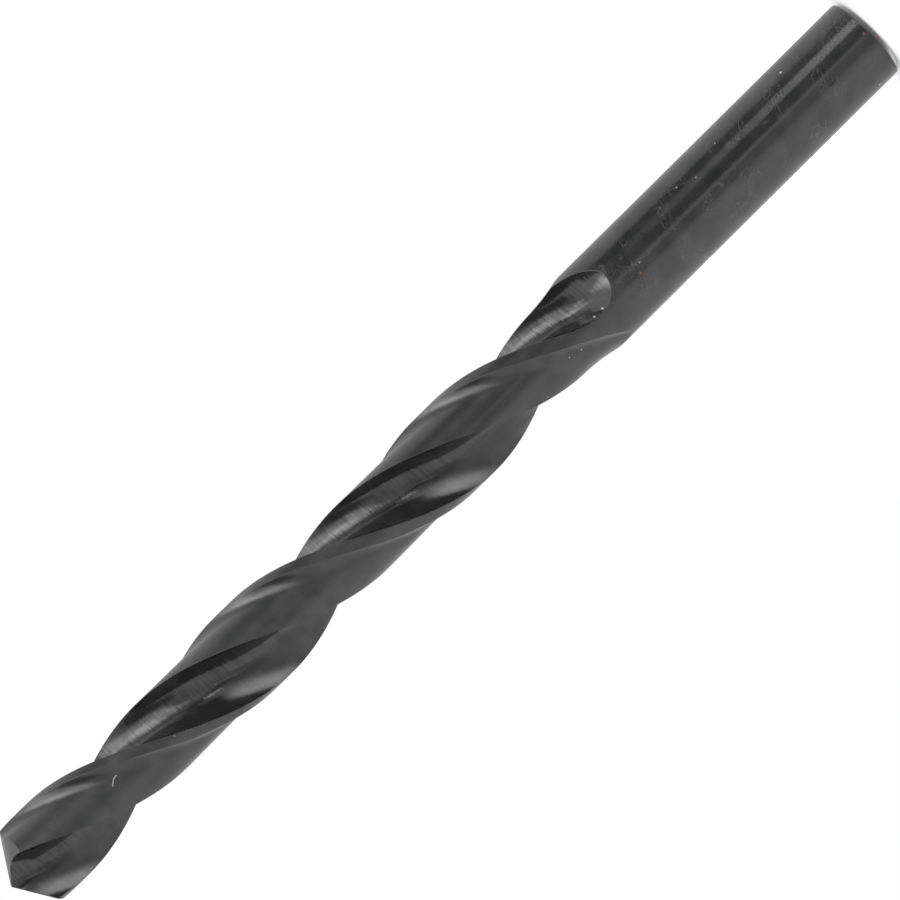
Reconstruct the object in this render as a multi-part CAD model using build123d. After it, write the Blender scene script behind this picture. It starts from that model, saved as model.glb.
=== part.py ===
"""Jobber-length twist drill with a straight shank, ground from one bar.

The drill stands on the flat end of its shank. The origin is the middle of that end face and
+Z runs up the axis to the point. At the outer corners of the point the two lips lie along +X
and -X. Lengths are millimetres and angles are degrees.
"""
import os
from math import acos, asin, cos, degrees, pi, radians, sin, sqrt, tan

from build123d import *

# Bar
drill_diameter = 10.0
overall_length = 129.0
shank_diameter = 9.98
shank_chamfer = 0.6
neck_length = 0.8                  # cone from the shank up to the drill's diameter

# Flutes: two, on a right-hand helix
flute_length = 89.9                # from the point to the far end of the run-out
flute_lead = 59.95                 # rise in one full turn
flute_run_out_radius = 6.0         # arc on which the grinding wheel leaves the bar
flute_run_out_direction = 94.0     # in which it leaves, from the lip
flute_to_neck = 0.7                # full-diameter bar left between the run-out and the neck
web_thickness = 1.8                # core between the flutes, at the point
web_growth = 0.016                 # how much thicker the core gets in each mm of length
heel_angle = 104.5                 # from the lip round to the trailing edge of the flute

# Lands: a margin at full diameter, then a body that is cut back to clear the hole
margin_width = 1.05                # at the point
margin_height = 0.76               # step from the margin down to the body
margin_fillet = 3.3                # hollow at the foot of that step, ground as two flats
heel_rise = 0.1                    # how far the body climbs again towards its heel
clearance_length = 88.3            # from the point to the far end of the cut-back body
clearance_run_out_radius = 10.9

# Point
point_angle = 118.0
lip_relief_angle = 11.0            # fall of the flank just behind the lip
heel_relief_angle = 50.0           # fall of the flank at the heel

# Cross-sections that carry the cutters along the helix
section_step = 2.5
run_out_step = 0.8

radius = drill_diameter / 2
shank_length = overall_length - flute_length - flute_to_neck - neck_length
half_web = web_thickness / 2
land_radius = radius - margin_height
cutter_radius = 1.35 * radius
turn_rate = 360 / flute_lead
lip_fall = 1 / tan(radians(point_angle / 2))
lip_reach = sqrt(radius**2 - half_web**2)

# Seen along the lip, a flank is an arc that falls from the lip to the heel
heel_behind_lip = half_web + land_radius * sin(radians(heel_angle))
lip_sine = sin(radians(lip_relief_angle))
flank_radius = heel_behind_lip / (sin(radians(heel_relief_angle)) - lip_sine)
flank_crest = flank_radius * lip_sine


def flank_drop(behind_lip):
    """Fall of the flank below the lip, at a distance square to the lip."""
    return sqrt(flank_radius**2 - flank_crest**2) - sqrt(flank_radius**2 - (behind_lip + flank_crest) ** 2)


lip_top = overall_length + flank_drop(half_web)
corner_height = lip_top - lip_fall * lip_reach


def polar(distance, angle):
    return distance * cos(radians(angle)), distance * sin(radians(angle))


def on_helix(outline, height):
    """Points of a cross-section at the corners of the point, carried along the helix to a height."""
    turn = turn_rate * (height - corner_height)
    return [Vector(x, y, height).rotate(Axis.Z, turn) for x, y in outline]


def levels(run_out_top, bottom):
    """Heights of the cross-sections, from above the point down, closer together in the run-out."""
    top = overall_length + section_step
    long_steps = max(2, round((top - run_out_top) / section_step))
    short_steps = max(4, round((run_out_top - bottom) / run_out_step))
    above = [top - (top - run_out_top) * step / long_steps for step in range(long_steps)]
    below = [run_out_top - (run_out_top - bottom) * step / short_steps for step in range(short_steps + 1)]
    return above + below


def rake_angle(distance):
    """Polar angle of the rake face that leaves a straight lip at the point."""
    fall = lip_fall * (lip_reach - sqrt(distance**2 - half_web**2))
    return degrees(asin(half_web / distance)) - turn_rate * fall


def flute_outline():
    """One flute in cross-section: rake face, hollow floor, then the wall up to the heel."""
    rake = [(share * radius, rake_angle(share * radius)) for share in (1.35, 1.0, 0.75, 0.5)]
    floor = [(0.29 * radius, 22.0), (1.07 * half_web, 60.0), (0.29 * radius, 97.0)]
    wall = [(0.55 * radius, heel_angle + 4), (land_radius, heel_angle), (cutter_radius, heel_angle - 4)]
    return [polar(distance, angle) for distance, angle in rake + floor + wall]


def flute_cutter():
    """What the grinding wheel removes: it lifts slowly, square to the lips, then out of the bar."""
    end = overall_length - flute_length
    depth = radius - half_web - web_growth / 2 * (corner_height - end)
    run_out_top = end + sqrt(2 * flute_run_out_radius * depth)
    outline = flute_outline()
    away_x, away_y = polar(1, flute_run_out_direction)
    wires = []
    for height in levels(run_out_top, end - 2 * run_out_step):
        lift = web_growth / 2 * (corner_height - height)
        away = max(run_out_top - height, 0) ** 2 / (2 * flute_run_out_radius)
        moved = [(x + away * away_x, y + lift + away * away_y) for x, y in outline + [(radius, 2 * radius)]]
        *flute, outside = on_helix(moved, height)
        back = Edge.make_three_point_arc(flute[-1], outside, flute[0])
        wires.append(Wire([Edge.make_spline(flute), back]))
    return Solid.make_loft(wires)


def clearance_cutter():
    """Cuts one land back from the foot of its margin round past the heel."""
    end = overall_length - clearance_length
    run_out_top = end + sqrt(2 * clearance_run_out_radius * margin_height)
    hub = land_radius + margin_fillet
    fillet_turn = degrees(acos((radius**2 + hub**2 - margin_fillet**2) / (2 * radius * hub)))
    foot = degrees(asin(half_web / radius) - margin_width / radius) - fillet_turn
    heel = heel_angle - 180
    past_heel = heel - 12
    climb = heel_rise / (foot - heel)
    skew = 2 * pi * radius**2 / flute_lead
    bottom = end - radians(foot - past_heel) * skew / 2

    wires = []
    for height in levels(run_out_top + radians(foot - past_heel) * skew, bottom):

        def lift(angle):
            travel = run_out_top - height + radians(foot - angle) * skew
            return max(travel, 0) ** 2 / (2 * clearance_run_out_radius)

        def body(angle):
            return polar(land_radius + climb * (foot - angle) + lift(angle), angle)

        centre = hub + lift(foot)
        half_turn = degrees(margin_fillet * sin(pi / 4) / centre)
        hollow = polar(centre - margin_fillet * cos(pi / 4), foot + half_turn)
        brink = polar(centre, foot + degrees(margin_fillet / centre))
        middle = (foot + past_heel) / 2
        outside = [polar(cutter_radius + lift(a), a) for a in (past_heel, middle, foot)]
        land = [body(foot), body(middle), body(past_heel)]
        points = on_helix([brink, hollow] + land + outside, height)
        wires.append(
            Wire(
                [
                    Edge.make_line(points[0], points[1]),
                    Edge.make_line(points[1], points[2]),
                    Edge.make_three_point_arc(points[2], points[3], points[4]),
                    Edge.make_line(points[4], points[5]),
                    Edge.make_three_point_arc(points[5], points[6], points[7]),
                    Edge.make_line(points[7], points[0]),
                ]
            )
        )
    return Solid.make_loft(wires)


def flank_cutter():
    """Everything above one flank: an arc seen along the lip, extruded down the slope of the lip."""
    side = 1.2 * radius

    def on_arc(y):
        return Vector(-drill_diameter, y, lip_top + lip_fall * drill_diameter - flank_drop(half_web - y))

    above = Vector(0, 0, 3 * drill_diameter)
    front, crest, back = on_arc(side), on_arc(half_web), on_arc(-side)
    arc = Edge.make_three_point_arc(front, crest, back)
    rim = Wire.make_polygon([back, back + above, front + above, front], close=False)
    return Solid.extrude(Face(Wire([arc] + rim.edges())), 2 * drill_diameter * Vector(1, 0, -lip_fall))


def bar():
    shank_radius = shank_diameter / 2
    top = overall_length + section_step / 2
    side = [
        (0, 0, 0),
        (shank_radius - shank_chamfer, 0, 0),
        (shank_radius, 0, shank_chamfer),
        (shank_radius, 0, shank_length),
        (radius, 0, shank_length + neck_length),
        (radius, 0, top),
        (0, 0, top),
    ]
    return Solid.revolve(Face(Wire.make_polygon(side)), 360, Axis.Z)


def twist_drill():
    drill = bar()
    for cutter in (flute_cutter(), clearance_cutter(), flank_cutter()):
        drill -= cutter
        drill -= cutter.rotate(Axis.Z, 180)
    return drill


if __name__ == "__main__":
    os.makedirs("parts", exist_ok=True)
    export_step(twist_drill(), "parts/drill_bit.step")
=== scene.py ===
from math import acos, asin, cos, degrees, pi, radians, sin, sqrt, tan

import bmesh
import bpy
import numpy as np
from mathutils import Matrix, Vector
from mathutils.geometry import delaunay_2d_cdt


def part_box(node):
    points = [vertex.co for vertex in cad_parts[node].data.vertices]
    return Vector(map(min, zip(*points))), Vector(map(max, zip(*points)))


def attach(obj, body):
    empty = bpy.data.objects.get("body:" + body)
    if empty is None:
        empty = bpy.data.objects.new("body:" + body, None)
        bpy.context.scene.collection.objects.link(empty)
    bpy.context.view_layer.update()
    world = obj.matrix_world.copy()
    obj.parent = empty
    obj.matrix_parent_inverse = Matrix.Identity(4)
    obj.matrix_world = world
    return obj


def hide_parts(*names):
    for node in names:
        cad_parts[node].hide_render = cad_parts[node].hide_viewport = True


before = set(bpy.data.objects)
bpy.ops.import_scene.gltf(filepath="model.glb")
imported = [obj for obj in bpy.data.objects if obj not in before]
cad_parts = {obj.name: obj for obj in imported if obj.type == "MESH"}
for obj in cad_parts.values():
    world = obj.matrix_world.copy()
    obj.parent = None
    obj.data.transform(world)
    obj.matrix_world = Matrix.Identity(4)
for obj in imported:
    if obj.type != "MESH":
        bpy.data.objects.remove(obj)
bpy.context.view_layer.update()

NODE = "drill_bit"
MM = 0.001
low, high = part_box(NODE)

# ---------------------------------------------------------------- the drill's sizes, millimetres
overall_length = 129.0
radius = (high[0] - low[0]) / 2 / MM
shank_diameter = 9.98
neck_length = 0.8
flute_to_neck = 0.7
shank_chamfer = 0.6
flute_length = 89.9
flute_lead = 59.95
flute_run_out_radius = 6.0
flute_run_out_direction = 94.0
web_thickness = 1.8
web_growth = 0.016
heel_angle = 104.5
margin_width = 1.05
margin_height = 0.76
margin_fillet = 3.3
heel_rise = 0.1
clearance_length = 88.3
clearance_run_out_radius = 10.9
point_angle = 118.0
lip_relief_angle = 11.0
heel_relief_angle = 50.0

shank_length = overall_length - flute_length - flute_to_neck - neck_length
half_web = web_thickness / 2
land_radius = radius - margin_height
turn_rate = 360 / flute_lead
lip_fall = 1 / tan(radians(point_angle / 2))
lip_reach = sqrt(radius**2 - half_web**2)
heel_behind_lip = half_web + land_radius * sin(radians(heel_angle))
lip_sine = sin(radians(lip_relief_angle))
flank_radius = heel_behind_lip / (sin(radians(heel_relief_angle)) - lip_sine)
flank_crest = flank_radius * lip_sine


def flank_drop(behind_lip):
    """Fall of a flank below its lip, at a distance square to the lip."""
    lip_level = sqrt(flank_radius**2 - flank_crest**2)
    return lip_level - np.sqrt(np.maximum(flank_radius**2 - (behind_lip + flank_crest) ** 2, 0))


lip_top = overall_length + float(flank_drop(half_web))
corner_height = lip_top - lip_fall * lip_reach
corner_angle = degrees(asin(half_web / radius))

flute_end = overall_length - flute_length
flute_depth = radius - half_web - web_growth / 2 * (corner_height - flute_end)
flute_lift_start = flute_end + sqrt(2 * flute_run_out_radius * flute_depth)
clearance_end = overall_length - clearance_length
clearance_lift_start = clearance_end + sqrt(2 * clearance_run_out_radius * margin_height)
fillet_hub = land_radius + margin_fillet
fillet_turn = degrees(
    acos((radius**2 + fillet_hub**2 - margin_fillet**2) / (2 * radius * fillet_hub))
)
foot = corner_angle - degrees(margin_width / radius) - fillet_turn
heel = heel_angle - 180
climb = heel_rise / (foot - heel)
skew = 2 * pi * radius**2 / flute_lead

# points round one half of a cross-section, by what they lie on
FLUTE_POINTS = 56
BODY_POINTS = 40
FILLET_POINTS = 12
MARGIN_POINTS = 10
HALF = FLUTE_POINTS + BODY_POINTS + FILLET_POINTS + MARGIN_POINTS


# ---------------------------------------------------------------- cross-section
def rake_angle(distance):
    """Polar angle of the rake face that leaves a straight lip at the point."""
    fall = lip_fall * (lip_reach - sqrt(distance**2 - half_web**2))
    return degrees(asin(half_web / distance)) - turn_rate * fall


def natural_spline(points, samples):
    """Natural cubic spline through points, with the same number of samples between each pair."""
    points = np.array(points, float)
    steps = np.linalg.norm(np.diff(points, axis=0), axis=1)
    count = len(points)
    matrix = np.eye(count)
    right = np.zeros_like(points)
    for i in range(1, count - 1):
        matrix[i, i - 1 : i + 2] = steps[i - 1], 2 * (steps[i - 1] + steps[i]), steps[i]
        slope_before = (points[i] - points[i - 1]) / steps[i - 1]
        slope_after = (points[i + 1] - points[i]) / steps[i]
        right[i] = 6 * (slope_after - slope_before)
    bend = np.linalg.solve(matrix, right)
    curve = []
    for i, step in enumerate(steps):
        s = np.linspace(0, 1, samples, endpoint=False)[:, None]
        a, b = 1 - s, s
        part = a * points[i] + b * points[i + 1]
        part += ((a**3 - a) * bend[i] + (b**3 - b) * bend[i + 1]) * step**2 / 6
        curve.append(part)
    return np.vstack(curve + [points[-1:]])


def flute_curve():
    """One flute in cross-section: rake face, hollow floor, then the wall up to the heel."""
    rake = [(share * radius, rake_angle(share * radius)) for share in (1.35, 1.0, 0.75, 0.5)]
    floor = [(0.29 * radius, 22.0), (1.07 * half_web, 60.0), (0.29 * radius, 97.0)]
    wall = [(0.55 * radius, heel_angle + 4), (land_radius, heel_angle), (1.35 * radius, heel_angle - 4)]
    outline = [
        (distance * cos(radians(angle)), distance * sin(radians(angle)))
        for distance, angle in rake + floor + wall
    ]
    return natural_spline(outline, 60)


FLUTE = flute_curve()


def land_outline(angles, height):
    """Radius of a land at angles measured from its own lip, and the angle of its margin's back edge."""
    angles = np.asarray(angles, float)
    travel = clearance_lift_start - height + np.radians(foot - angles) * skew
    lift = np.maximum(travel, 0) ** 2 / (2 * clearance_run_out_radius)
    body = land_radius + climb * (foot - angles) + lift
    foot_lift = max(clearance_lift_start - height, 0) ** 2 / (2 * clearance_run_out_radius)
    hub = fillet_hub + foot_lift
    aside = hub * np.sin(np.radians(angles - foot))
    rise = np.sqrt(np.maximum(margin_fillet**2 - aside**2, 0))
    hollow = hub * np.cos(np.radians(angles - foot)) - rise
    outline = np.where(angles < foot, body, hollow)
    share = (radius**2 + hub**2 - margin_fillet**2) / (2 * radius * hub)
    back_edge = foot + (degrees(acos(share)) if share < 1 else 0.0)
    outline = np.where(angles >= back_edge, radius, outline)
    return np.minimum(outline, radius), back_edge


def crossing(curve, inside, first):
    """Place where a curve enters (first) or leaves (not first) the inside of the bar."""
    hits = np.nonzero(inside > 0)[0]
    if len(hits) == 0:
        return None
    i = hits[0] if first else hits[-1]
    j = i - 1 if first else i + 1
    if j < 0 or j >= len(curve):
        return float(i)
    share = inside[i] / (inside[i] - inside[j])
    return i + (j - i) * share


def half_section(height, closed_angle):
    """Points from one leading corner to the other at a height, in the lip frame.

    Also gives the middle of the flute and whether it is still open. Where it is closed, its
    points lie together on the bar at closed_angle.
    """
    lift = web_growth / 2 * (corner_height - height)
    away = max(flute_lift_start - height, 0) ** 2 / (2 * flute_run_out_radius)
    toward = radians(flute_run_out_direction)
    curve = FLUTE + [away * cos(toward), lift + away * sin(toward)]
    distance = np.hypot(curve[:, 0], curve[:, 1])
    angle = np.degrees(np.arctan2(curve[:, 1], curve[:, 0]))
    outline, back_edge = land_outline(np.minimum(angle - 180, foot + 30), height)
    limit = np.where(angle < 60, radius, outline)
    start = crossing(curve, limit - distance, True)
    stop = crossing(curve, limit - distance, False)
    is_open = start is not None and stop is not None and stop - start > 0.5
    if is_open:
        place = np.linspace(start, stop, 400)
        index = np.arange(len(curve))
        dense = np.stack([np.interp(place, index, curve[:, k]) for k in (0, 1)], axis=1)
        run = np.concatenate([[0], np.cumsum(np.linalg.norm(np.diff(dense, axis=0), axis=1))])
        even = np.linspace(0, run[-1], FLUTE_POINTS + 1)
        flute = np.stack([np.interp(even, run, dense[:, k]) for k in (0, 1)], axis=1)[:-1]
        corner = degrees(np.arctan2(dense[0, 1], dense[0, 0]))
        heel_corner = degrees(np.arctan2(dense[-1, 1], dense[-1, 0]))
    else:
        corner = heel_corner = closed_angle
        a = np.full(FLUTE_POINTS, radians(closed_angle))
        flute = radius * np.stack([np.cos(a), np.sin(a)], axis=1)
    body_angles = np.linspace(heel_corner - 180, foot, BODY_POINTS + 1)[:-1]
    fillet_angles = np.linspace(foot, back_edge, FILLET_POINTS + 1)[:-1]
    margin_angles = np.linspace(back_edge, corner, MARGIN_POINTS + 1)[:-1]
    angles = np.concatenate([body_angles, fillet_angles, margin_angles])
    land, _ = land_outline(angles, height)
    land[-MARGIN_POINTS:] = radius
    turned = np.radians(angles + 180)
    land_points = np.stack([land * np.cos(turned), land * np.sin(turned)], axis=1)
    middle = (corner + heel_corner) / 2
    return np.vstack([flute, land_points]), middle, is_open


def ring(height, closed_angle):
    """All points of the cross-section at a height, turned along the helix."""
    half = half_section(height, closed_angle)[0]
    whole = np.vstack([half, -half])
    turn = radians(turn_rate * (max(height, FREEZE) - corner_height))
    c, s = cos(turn), sin(turn)
    x = whole[:, 0] * c - whole[:, 1] * s
    y = whole[:, 0] * s + whole[:, 1] * c
    return np.stack([x, y, np.full(len(x), height)], axis=1)


# ---------------------------------------------------------------- mesh of the drill
def flute_closes():
    """Height at which the flute has left the bar."""
    below, above = flute_end - 2.0, flute_end + 6.0
    for _ in range(40):
        middle = (below + above) / 2
        if half_section(middle, 0.0)[2]:
            above = middle
        else:
            below = middle
    return above


def point_surface(x, y):
    """Height of the ground point over a place in the cross-section at the outer corners' turn."""
    first = lip_top - lip_fall * x - flank_drop(half_web - y)
    second = lip_top + lip_fall * x - flank_drop(half_web + y)
    return np.minimum(first, second)


FREEZE = shank_length + neck_length     # below it the columns of points no longer turn
STRAIGHT = 0.25                         # how far below the end of the flutes the close rings start
POINT_BASE = 119.0                      # above it the rings follow the ground point
closing = flute_closes()
closed_angle = half_section(closing, 0.0)[1]


# steps between rings, by how far they lie above the end of the flutes
RING_STEPS = [(0.1, 0.03), (0.8, 0.08), (4, 0.2), (18, 0.3), (overall_length, 0.55)]


def side_rings():
    """Heights of the rings from the neck up to the point, closer together in the run-outs."""
    heights = [FREEZE]
    height = closing - STRAIGHT
    while height < POINT_BASE - 0.2:
        heights.append(height)
        height += next(step for reach, step in RING_STEPS if height - closing < reach)
    heights.append(POINT_BASE)
    return heights


def point_rows(count):
    """Rings that follow the ground point: each column ends where it meets a flank."""
    step = 0.05
    levels = np.arange(POINT_BASE, overall_length + 1.5, step)
    stack = np.array([half_section(h, closed_angle)[0] for h in levels])
    stack = np.concatenate([stack, -stack], axis=1)
    turn = np.radians(turn_rate * (levels - corner_height))[:, None]
    x = stack[:, :, 0] * np.cos(turn) - stack[:, :, 1] * np.sin(turn)
    y = stack[:, :, 0] * np.sin(turn) + stack[:, :, 1] * np.cos(turn)
    over = levels[:, None] - point_surface(x, y)
    columns = x.shape[1]
    tops = np.empty(columns)
    for j in range(columns):
        i = int(np.argmax(over[:, j] > 0))
        tops[j] = levels[i - 1] + step * over[i - 1, j] / (over[i - 1, j] - over[i, j])
    rows = []
    for k in range(1, count + 1):
        row = np.empty((columns, 3))
        for j in range(columns):
            h = POINT_BASE + (tops[j] - POINT_BASE) * k / count
            flat = [np.interp(h, levels, stack[:, j, n]) for n in (0, 1)]
            a = radians(turn_rate * (h - corner_height))
            row[j] = flat[0] * cos(a) - flat[1] * sin(a), flat[0] * sin(a) + flat[1] * cos(a), h
        rows.append(row)
    return rows


def chisel_edge():
    """The edge across the core where the two flanks meet, from one side to the other."""
    y = np.linspace(-2.2 * half_web, 2.2 * half_web, 81)
    x = (flank_drop(half_web + y) - flank_drop(half_web - y)) / (2 * lip_fall)
    return np.stack([x, y], axis=1)


def nearest(points, others):
    """Distance from each point to the nearest of some others."""
    apart = points[:, None] - others[None]
    return np.min(np.hypot(apart[:, :, 0], apart[:, :, 1]), axis=1)


def cap(rim):
    """Triangles over the ground point, inside its rim, with the chisel edge kept."""
    count = len(rim)
    flat = rim[:, :2]
    chisel = chisel_edge()
    inside = points_inside(chisel, flat)
    chisel = chisel[inside]
    ends = [int(np.argmin(np.hypot(*(flat - chisel[k]).T))) for k in (0, -1)]
    step = 0.22
    reach = np.arange(-radius, radius + step, step)
    grid = np.array([(x, y) for x in reach for y in reach])
    grid = grid[points_inside(grid, flat)]
    grid = grid[(nearest(grid, flat) > 0.6 * step) & (nearest(grid, chisel) > 0.6 * step)]
    points = np.vstack([flat, chisel, grid])
    path = [ends[0]] + list(range(count, count + len(chisel))) + [ends[1]]
    edges = [(i, (i + 1) % count) for i in range(count)] + list(zip(path[:-1], path[1:]))
    made = delaunay_2d_cdt([Vector(p) for p in points.tolist()], edges, [], 1, 1e-7)
    where, faces = np.array([tuple(p) for p in made[0]]), made[2]
    heights = point_surface(where[:, 0], where[:, 1])
    centres = np.array([where[list(f)].mean(axis=0) for f in faces])
    keep = points_inside(centres, flat)
    return np.column_stack([where, heights]), [f for f, k in zip(faces, keep) if k]


def points_inside(points, loop):
    """True for the points inside a closed loop."""
    x, y = points[:, 0][:, None], points[:, 1][:, None]
    x1, y1 = loop[:, 0][None], loop[:, 1][None]
    x2, y2 = np.roll(loop[:, 0], -1)[None], np.roll(loop[:, 1], -1)[None]
    spans = (y1 > y) != (y2 > y)
    with np.errstate(divide="ignore", invalid="ignore"):
        hit = spans & (x < (x2 - x1) * (y - y1) / (y2 - y1) + x1)
    return hit.sum(axis=1) % 2 == 1


def round_ring(distance, height, like):
    """A plain circle at a height, on the columns of another ring."""
    angle = np.arctan2(like[:, 1], like[:, 0])
    level = np.full(len(like), height)
    return np.stack([distance * np.cos(angle), distance * np.sin(angle), level], axis=1)


FLUTE_ZONE, BODY_ZONE, MARGIN_ZONE, SHANK_ZONE, POINT_ZONE = range(5)


def shares():
    """Places of each column's two sides across the surface that it belongs to, from 0 to 1."""
    counts = (FLUTE_POINTS, BODY_POINTS, FILLET_POINTS, MARGIN_POINTS) * 2
    near = np.concatenate([np.arange(count) / count for count in counts])
    far = np.concatenate([(np.arange(count) + 1) / count for count in counts])
    return near.tolist(), far.tolist()


def drill_mesh():
    """The whole drill in metres, with the zone of each face and each corner's place across it."""
    first = ring(FREEZE, closed_angle)
    shank_radius = shank_diameter / 2
    rounding = 0.06
    profile = [
        (0.0, 0.0),
        (shank_radius - shank_chamfer - rounding, 0.0),
        (shank_radius - shank_chamfer, 0.3 * rounding),
        (shank_radius - 0.25 * rounding, shank_chamfer - 0.5 * rounding),
        (shank_radius, shank_chamfer + 0.7 * rounding),
        (shank_radius, shank_chamfer + 3 * rounding),
        (shank_radius, 6.0),
        (shank_radius, 14.0),
        (shank_radius, 22.0),
        (shank_radius, 30.0),
        (radius, shank_length),
    ]
    rings = [round_ring(distance, height, first) for distance, height in profile[1:]]
    rings += [ring(height, closed_angle) for height in side_rings()]
    rings += point_rows(26)
    columns = 2 * HALF
    points = np.vstack(rings)
    zones = [FLUTE_ZONE] * FLUTE_POINTS + [BODY_ZONE] * (BODY_POINTS + FILLET_POINTS)
    zones = (zones + [MARGIN_ZONE] * MARGIN_POINTS) * 2
    near, far = shares()
    faces, face_zone, across = [], [], []
    shank_rings = len(profile) - 1
    for i in range(len(rings) - 1):
        for j in range(columns):
            k = (j + 1) % columns
            below, above = i * columns, (i + 1) * columns
            faces.append((below + j, below + k, above + k, above + j))
            face_zone.append(SHANK_ZONE if i < shank_rings + 1 else zones[j])
            across += [near[j], far[j], far[j], near[j]]
    centre = len(points)
    end_faces = [(centre, (j + 1) % columns, j) for j in range(columns)]
    cap_points, cap_faces = cap(rings[-1])
    base = centre + 1
    all_points = np.vstack([points, [[0, 0, 0]], cap_points])
    all_faces = faces + end_faces + [tuple(base + v for v in f) for f in cap_faces]
    all_zones = face_zone + [SHANK_ZONE] * len(end_faces) + [POINT_ZONE] * len(cap_faces)
    across += [0.5] * sum(len(f) for f in end_faces + cap_faces)
    mesh = bpy.data.meshes.new("drill")
    mesh.from_pydata((all_points * MM).tolist(), [], all_faces)
    zone_values = [float(zone) for zone in all_zones]
    mesh.attributes.new("zone", "FLOAT", "FACE").data.foreach_set("value", zone_values)
    mesh.attributes.new("across", "FLOAT", "CORNER").data.foreach_set("value", across)
    joined = bmesh.new()
    joined.from_mesh(mesh)
    bmesh.ops.remove_doubles(joined, verts=joined.verts, dist=2e-7)
    bmesh.ops.dissolve_degenerate(joined, edges=joined.edges, dist=1e-8)
    bmesh.ops.recalc_face_normals(joined, faces=joined.faces)
    joined.to_mesh(mesh)
    joined.free()
    mesh.polygons.foreach_set("use_smooth", [True] * len(mesh.polygons))
    mesh.set_sharp_from_angle(angle=radians(28))
    return mesh


drill = bpy.data.objects.new("twist_drill", drill_mesh())
bpy.context.scene.collection.objects.link(drill)


# ---------------------------------------------------------------- camera
CAMERA_TILT = 2.82              # degrees above the middle of the drill
CAMERA_AZIMUTH = -104.7
CAMERA_DISTANCE = 0.5           # metres
CAMERA_AIM = 63.34              # height of the picture's middle on the drill, in millimetres
CAMERA_LENS = 187.43
ROLL_COSINE, ROLL_SINE = 0.7101, 0.7041     # the drill lies almost on the picture's diagonal

to_viewer = Vector((cos(radians(CAMERA_AZIMUTH)), sin(radians(CAMERA_AZIMUTH)), 0))
upward = Vector((0, 0, 1))
sideways = upward.cross(to_viewer)
aim_line = cos(radians(CAMERA_TILT)) * to_viewer + sin(radians(CAMERA_TILT)) * upward
seen_axis = (upward - upward.dot(aim_line) * aim_line).normalized()
target = upward * CAMERA_AIM * MM
picture_right = -ROLL_COSINE * seen_axis - ROLL_SINE * sideways
picture_up = -ROLL_SINE * seen_axis + ROLL_COSINE * sideways
camera = bpy.data.objects.new("camera", bpy.data.cameras.new("camera"))
bpy.context.scene.collection.objects.link(camera)
turned = Matrix((picture_right, picture_up, aim_line)).transposed()
camera.matrix_world = Matrix.Translation(target + aim_line * CAMERA_DISTANCE) @ turned.to_4x4()
camera.data.sensor_width = 36
camera.data.lens = CAMERA_LENS
camera.data.clip_start = 0.05
camera.data.clip_end = 20
bpy.context.scene.camera = camera


# ---------------------------------------------------------------- materials
class Graph:
    """Short calls that add nodes to one material or world."""

    def __init__(self, tree):
        tree.nodes.clear()
        self.nodes, self.links = tree.nodes, tree.links

    def node(self, kind, **settings):
        made = self.nodes.new(kind)
        for name, value in settings.items():
            setattr(made, name, value)
        return made

    def put(self, value, socket):
        """Link a socket, or set its own value."""
        if isinstance(value, bpy.types.NodeSocket):
            self.links.new(value, socket)
        else:
            socket.default_value = value

    def maths(self, operation, *values):
        node = self.node("ShaderNodeMath", operation=operation)
        for socket, value in zip(node.inputs, values):
            self.put(value, socket)
        return node.outputs[0]

    def along(self, vector, direction):
        node = self.node("ShaderNodeVectorMath", operation="DOT_PRODUCT")
        self.put(vector, node.inputs[0])
        self.put(direction, node.inputs[1])
        return node.outputs["Value"]

    def stretched(self, vector, scale):
        node = self.node("ShaderNodeVectorMath", operation="MULTIPLY")
        self.put(vector, node.inputs[0])
        self.put(scale, node.inputs[1])
        return node.outputs[0]

    def apart(self, vector, place):
        node = self.node("ShaderNodeVectorMath", operation="DISTANCE")
        self.put(vector, node.inputs[0])
        self.put(place, node.inputs[1])
        return node.outputs["Value"]

    def noise(self, vector, scale, detail=2.0, distortion=0.0):
        node = self.node("ShaderNodeTexNoise")
        self.put(vector, node.inputs["Vector"])
        self.put(scale, node.inputs["Scale"])
        self.put(detail, node.inputs["Detail"])
        self.put(distortion, node.inputs["Distortion"])
        return node.outputs[0]

    def ramp(self, value, start, stop, first=0.0, last=1.0):
        """Smooth change from first to last while a value goes from start to stop."""
        node = self.node("ShaderNodeMapRange", interpolation_type="SMOOTHSTEP")
        for socket, number in zip(node.inputs, (value, start, stop, first, last)):
            self.put(number, socket)
        return node.outputs[0]

    def blend(self, factor, first, second):
        node = self.node("ShaderNodeMix")
        self.put(factor, node.inputs["Factor"])
        self.put(first, node.inputs["A"])
        self.put(second, node.inputs["B"])
        return node.outputs["Result"]

    def tint(self, factor, first, second):
        node = self.node("ShaderNodeMix", data_type="RGBA")
        self.put(factor, node.inputs[0])
        self.put(first, node.inputs[6])
        self.put(second, node.inputs[7])
        return node.outputs[2]

    def attribute(self, name):
        return self.node("ShaderNodeAttribute", attribute_name=name).outputs["Fac"]


def in_zone(graph, zone):
    """1 on the faces of one zone, 0 elsewhere."""
    return graph.maths("COMPARE", graph.attribute("zone"), float(zone), 0.5)


# Specks of dust, in millimetres and degrees: height, turn from the viewer, radius
DUST = [
    (42.7, -10.0, 0.11),
    (41.5, -9.0, 0.12),
    (47.6, -27.5, 0.08),
    (46.1, -31.5, 0.10),
    (35.3, -0.5, 0.07),
    (26.8, 35.0, 0.09),
    (24.6, 26.0, 0.07),
    (20.5, 42.0, 0.08),
    (10.1, 49.0, 0.15),
    (3.2, -67.5, 0.14),
    (98.6, -8.0, 0.08),
    (105.4, -11.0, 0.06),
]
RED_SPECKS = [(36.0, -10.5, 0.14), (1.1, 5.5, 0.15)]
# Dull marks near the end of the shank: height, turn, half length and half width
STAINS = [(7.55, 8.3, 0.83, 0.27), (7.3, -11.0, 0.60, 0.10)]
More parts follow.
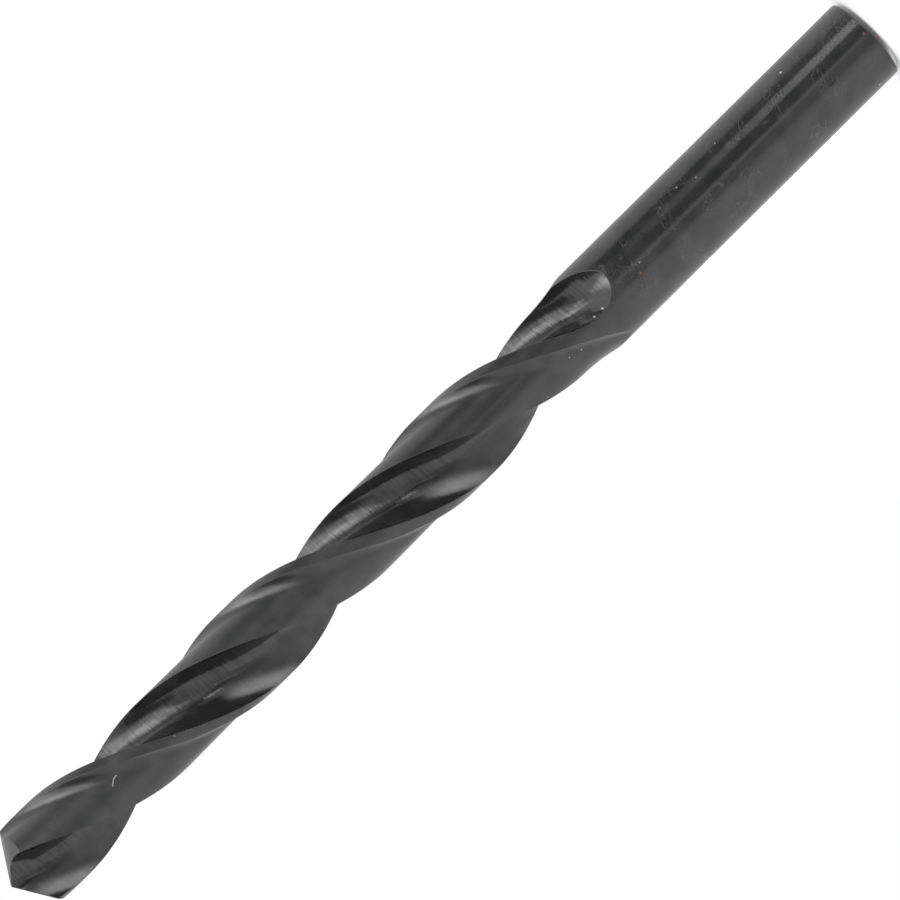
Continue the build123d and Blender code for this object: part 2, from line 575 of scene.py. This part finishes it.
# A bent hair near the point: height and turn of its middle, then its length and thickness
FIBRE = (113.2, 4.0)
FIBRE_LENGTH = 1.1
FIBRE_RADIUS = 0.07

# Colours and shine of the blackened steel
OXIDE_DARK = (0.014, 0.0148, 0.0148, 1)
OXIDE_PALE = (0.019, 0.0192, 0.019, 1)
BARE_STEEL = (0.075, 0.075, 0.073, 1)
DUST_COLOUR = (0.5, 0.5, 0.48, 1)
RED_COLOUR = (0.3, 0.05, 0.05, 1)
OXIDE_IOR = 1.82
FLUTE_ROUGHNESS = 0.13
SHANK_ROUGHNESS = 0.145
LAND_ROUGHNESS = 0.22
EDGE_ROUNDING = 0.12            # millimetres
CHATTER_DEPTH = 14e-6           # metres, as the bump wants them
GRAIN_DEPTH = 3e-6


def specks(graph, unrolled, places):
    """1 in each round speck, 0 elsewhere, on the surface unrolled to millimetres."""
    inside = 0.0
    for height, turn, size in places:
        centre = (radians(turn) * radius, height, 0)
        speck = graph.ramp(graph.apart(unrolled, centre), 0.5 * size, 1.3 * size, 1.0, 0.0)
        inside = graph.maths("MAXIMUM", speck, inside)
    return inside


def stains(graph, height, round_way):
    """1 in each dull mark, 0 elsewhere."""
    inside = 0.0
    for middle, turn, half_length, half_width in STAINS:
        above = graph.maths("ABSOLUTE", graph.maths("SUBTRACT", height, middle))
        aside = graph.maths("ABSOLUTE", graph.maths("SUBTRACT", round_way, radians(turn) * radius))
        up_share = graph.maths("DIVIDE", above, half_length)
        reach = graph.maths("MAXIMUM", up_share, graph.maths("DIVIDE", aside, half_width))
        inside = graph.maths("MAXIMUM", graph.ramp(reach, 0.8, 1.15, 1.0, 0.0), inside)
    return inside


def fibre_places():
    """Specks so close together along an arc that they make a short bent hair."""
    height, turn = FIBRE
    bend = 0.75 * FIBRE_LENGTH
    count = 12
    places = []
    for step in range(count):
        a = (step / (count - 1) - 0.5) * FIBRE_LENGTH / bend
        up, aside = bend * sin(a), bend * (1 - cos(a))
        places.append((height + up, turn - degrees(aside + 0.6 * up) / radius, FIBRE_RADIUS))
    return places


def black_oxide():
    """Ground high-speed steel, blackened: a dark oiled sheen, cutter marks, scratches and dust."""
    material = bpy.data.materials.new("black_oxide_steel")
    material.use_nodes = True
    graph = Graph(material.node_tree)
    place = graph.node("ShaderNodeTexCoord").outputs["Object"]
    flute = in_zone(graph, FLUTE_ZONE)
    shank = in_zone(graph, SHANK_ZONE)
    across = graph.attribute("across")

    # distance round the drill and height, both in millimetres
    turn = graph.maths("ARCTAN2", graph.along(place, sideways), graph.along(place, to_viewer))
    round_way = graph.maths("MULTIPLY", turn, radius)
    height = graph.along(place, upward / MM)
    unroll = graph.node("ShaderNodeCombineXYZ")
    graph.put(round_way, unroll.inputs["X"])
    graph.put(height, unroll.inputs["Y"])
    unrolled = unroll.outputs[0]

    # clouds in the oxide, and its grain
    clouds = graph.noise(place, 450, 5.0)
    grain = graph.noise(place, 4200, 3.0)

    # fine ridges that the wheel left across the flutes
    chatter = graph.noise(graph.stretched(place, (260, 260, 3400)), 1, 1.0)
    waves = graph.noise(graph.stretched(place, (120, 120, 900)), 1, 2.0)
    ridges = graph.maths("MULTIPLY_ADD", waves, 1.5, chatter)
    cut_side = graph.maths("MULTIPLY", graph.ramp(across, 0.35, 0.55, 0.3, 1.0), flute)

    # scratches: thin lines where two kinds of noise cross their middle value
    long_lines = graph.noise(graph.stretched(place, (1, 1, 0.35)), 420, 1.0, 1.2)
    curls = graph.noise(place, 330, 2.0, 2.5)
    patchy = graph.ramp(graph.noise(place, 260, 2.0), 0.5, 0.62)
    aslant = graph.node("ShaderNodeCombineXYZ")
    graph.put(graph.along(unrolled, (0.4, 0.9, 0)), aslant.inputs["X"])
    graph.put(graph.along(unrolled, (0.06, -0.027, 0)), aslant.inputs["Y"])
    strokes = graph.noise(aslant.outputs[0], 2.6, 2.0)
    scratches = 0.0
    for lines, width in ((long_lines, 0.010), (curls, 0.007), (strokes, 0.012)):
        off_line = graph.maths("ABSOLUTE", graph.maths("SUBTRACT", lines, 0.5))
        line = graph.ramp(off_line, 0.3 * width, width, 1.0, 0.0)
        scratches = graph.maths("MAXIMUM", line, scratches)
    most = graph.blend(shank, 0.10, 0.75)
    scratches = graph.maths("MULTIPLY", graph.maths("MULTIPLY", scratches, patchy), most)

    # colour
    oxide = graph.tint(graph.ramp(clouds, 0.3, 0.7), OXIDE_DARK, OXIDE_PALE)
    worn = graph.tint(scratches, oxide, BARE_STEEL)
    dusty = graph.tint(specks(graph, unrolled, DUST + fibre_places()), worn, DUST_COLOUR)
    colour = graph.tint(specks(graph, unrolled, RED_SPECKS), dusty, RED_COLOUR)

    # gloss
    dull_lines = graph.maths("MULTIPLY", graph.ramp(chatter, 0.42, 0.62), cut_side)
    marks = graph.maths("MULTIPLY", stains(graph, height, round_way), -0.45)
    clouded = graph.maths("ADD", marks, graph.ramp(clouds, 0.35, 0.65, 0.84, 1.0))
    shine = graph.maths("MULTIPLY_ADD", dull_lines, -0.22, clouded)
    sheen = graph.tint(shine, (0, 0, 0, 1), (1, 1, 1, 1))
    outside = graph.blend(shank, LAND_ROUGHNESS, SHANK_ROUGHNESS)
    even = graph.blend(flute, outside, FLUTE_ROUGHNESS)
    cloudy = graph.maths("MULTIPLY_ADD", graph.ramp(clouds, 0.25, 0.75, -1.0, 1.0), 0.02, even)
    rough = graph.maths("MULTIPLY_ADD", scratches, 0.2, cloudy)

    # relief
    soft_edges = graph.node("ShaderNodeBevel", samples=6)
    graph.put(EDGE_ROUNDING * MM, soft_edges.inputs["Radius"])
    ridged = graph.maths("MULTIPLY", ridges, cut_side)
    grained = graph.maths("MULTIPLY", grain, GRAIN_DEPTH)
    relief = graph.maths("MULTIPLY_ADD", ridged, CHATTER_DEPTH, grained)
    bump = graph.node("ShaderNodeBump")
    graph.put(1.0, bump.inputs["Strength"])
    graph.put(1.0, bump.inputs["Distance"])
    graph.put(relief, bump.inputs["Height"])
    graph.put(soft_edges.outputs[0], bump.inputs["Normal"])

    shader = graph.node("ShaderNodeBsdfPrincipled")
    graph.put(colour, shader.inputs["Base Color"])
    graph.put(rough, shader.inputs["Roughness"])
    graph.put(OXIDE_IOR, shader.inputs["IOR"])
    graph.put(sheen, shader.inputs["Specular Tint"])
    graph.put(bump.outputs[0], shader.inputs["Normal"])
    output = graph.node("ShaderNodeOutputMaterial")
    graph.put(shader.outputs["BSDF"], output.inputs["Surface"])
    return material


drill.data.materials.append(black_oxide())


# ---------------------------------------------------------------- floor and light
ROOM_LEVEL = 0.81
FLOOR_RADIUS = 0.3
FLOOR_GLOW = 0.22


def floor_material():
    """Matte white, with a little glow towards the camera so that it stays pale."""
    material = bpy.data.materials.new("floor")
    material.use_nodes = True
    graph = Graph(material.node_tree)
    matte = graph.node("ShaderNodeBsdfDiffuse")
    graph.put((0.9, 0.9, 0.9, 1), matte.inputs["Color"])
    glow = graph.node("ShaderNodeEmission")
    graph.put((1, 1, 1, 1), glow.inputs["Color"])
    seen = graph.node("ShaderNodeLightPath").outputs["Is Camera Ray"]
    graph.put(graph.maths("MULTIPLY", seen, FLOOR_GLOW), glow.inputs["Strength"])
    both = graph.node("ShaderNodeAddShader")
    graph.put(matte.outputs[0], both.inputs[0])
    graph.put(glow.outputs[0], both.inputs[1])
    output = graph.node("ShaderNodeOutputMaterial")
    graph.put(both.outputs[0], output.inputs["Surface"])
    return material


bpy.ops.mesh.primitive_circle_add(
    vertices=96, radius=FLOOR_RADIUS, fill_type="NGON", location=(0, 0, 0)
)
floor = bpy.context.object
floor.name = "floor"
floor.data.materials.append(floor_material())
floor.visible_glossy = False

world = bpy.data.worlds.new("studio")
bpy.context.scene.world = world
world.use_nodes = True

# Soft patches of light and dark, seen from the drill, in degrees: round its axis from the viewer,
# height towards the point, half the width and half the height, and how much they climb with each
# degree round. Then the share of the width that fades, and the level. Later ones lie over earlier
# ones. The last three light the far side.
#
# ROOM_LEVEL and the rows marked "fit" are not hand-set: they hold numbers that least-squares fits
# to the photograph's shading printed, or small changes of them. Rows marked "mixed" are partly
# so. The other rows and the panels were set one by one, with the fits' results in view.
PATCHES = [
    (-60, -5, 90, 7, 0.0, 0.9, 0.97),       # fit, changed
    (176, 14, 39, 52, 0.0, 0.9, 0.60),      # fit, only its level changed
    (2, -14, 38, 66, 0.0, 0.7, 0.55),       # fit, changed
    (8, -15, 36, 10, 0.0, 0.7, 0.32),
    (62, -2, 36, 22, 0.0, 0.9, 0.42),       # fit, changed
    (40, 90, 150, 42, 0.0, 0.7, 1.15),      # mixed
    (102, 62, 28, 16, 0.0, 0.9, 3.6),
    (26, 20, 12, 14, 0.0, 0.9, 2.3),
    (-4, 38, 24, 13, 0.0, 0.5, 0.10),       # mixed
    (50, 38, 22, 10, 0.0, 0.9, 3.0),
    (59, 22, 33, 13, 0.25, 0.9, 3.9),
    (34, -41, 40, 18, 0.24, 0.8, 2.7),      # fit, changed
    (-128, 37, 34, 12, 0.0, 0.8, 2.6),
    (-140, -38, 36, 18, 0.0, 0.8, 2.6),
    (-98, -52, 30, 13, 0.0, 0.8, 2.4),
]

# Panels with square edges, in the same numbers without the climb. They lie over the patches, and
# the shank mirrors them as long stripes.
PANELS = [
    (-11, -7.8, 12, 4.2, 0.2, 0.38),
    (-8, -10.6, 16, 2.4, 0.5, 0.60),
    (46, -6.9, 37, 2.8, 0.12, 0.08),
    (5, -7.4, 4.5, 3.8, 0.4, 0.85),
    (48, -10.4, 11, 0.9, 0.3, 5.0),
]


def studio(tree):
    """Light that depends on direction only: a pale room with soft lamps and darker corners."""
    graph = Graph(tree)
    direction = graph.node("ShaderNodeTexCoord").outputs["Generated"]
    turn = graph.maths("ARCTAN2", graph.along(direction, sideways), graph.along(direction, to_viewer))
    around = graph.maths("MULTIPLY", turn, 180 / pi)
    height = graph.maths("MULTIPLY", graph.maths("ARCSINE", graph.along(direction, upward)), 180 / pi)
    level = ROOM_LEVEL
    for turn, rise, wide, tall, slope, fade, value in PATCHES:
        aside = graph.maths("SUBTRACT", around, turn)
        above = graph.maths("MULTIPLY_ADD", aside, -slope, graph.maths("SUBTRACT", height, rise))
        x = graph.maths("DIVIDE", aside, wide)
        y = graph.maths("DIVIDE", above, tall)
        reach = graph.maths("SQRT", graph.maths("MULTIPLY_ADD", x, x, graph.maths("MULTIPLY", y, y)))
        level = graph.blend(graph.ramp(reach, 1 - fade, 1 + 0.3 * fade, 1.0, 0.0), level, value)
    for turn, rise, wide, tall, fade, value in PANELS:
        x = graph.maths("DIVIDE", graph.maths("SUBTRACT", around, turn), wide)
        y = graph.maths("DIVIDE", graph.maths("SUBTRACT", height, rise), tall)
        reach = graph.maths("MAXIMUM", graph.maths("ABSOLUTE", x), graph.maths("ABSOLUTE", y))
        level = graph.blend(graph.ramp(reach, 1 - fade, 1 + 0.3 * fade, 1.0, 0.0), level, value)
    path = graph.node("ShaderNodeLightPath")
    background = graph.node("ShaderNodeBackground")
    graph.put((1, 1, 1, 1), background.inputs["Color"])
    graph.put(graph.blend(path.outputs["Is Camera Ray"], level, 1.0), background.inputs["Strength"])
    output = graph.node("ShaderNodeOutputWorld")
    graph.put(background.outputs[0], output.inputs["Surface"])


studio(world.node_tree)
bpy.context.scene.view_settings.view_transform = "Standard"

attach(drill, "root")
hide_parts(NODE)
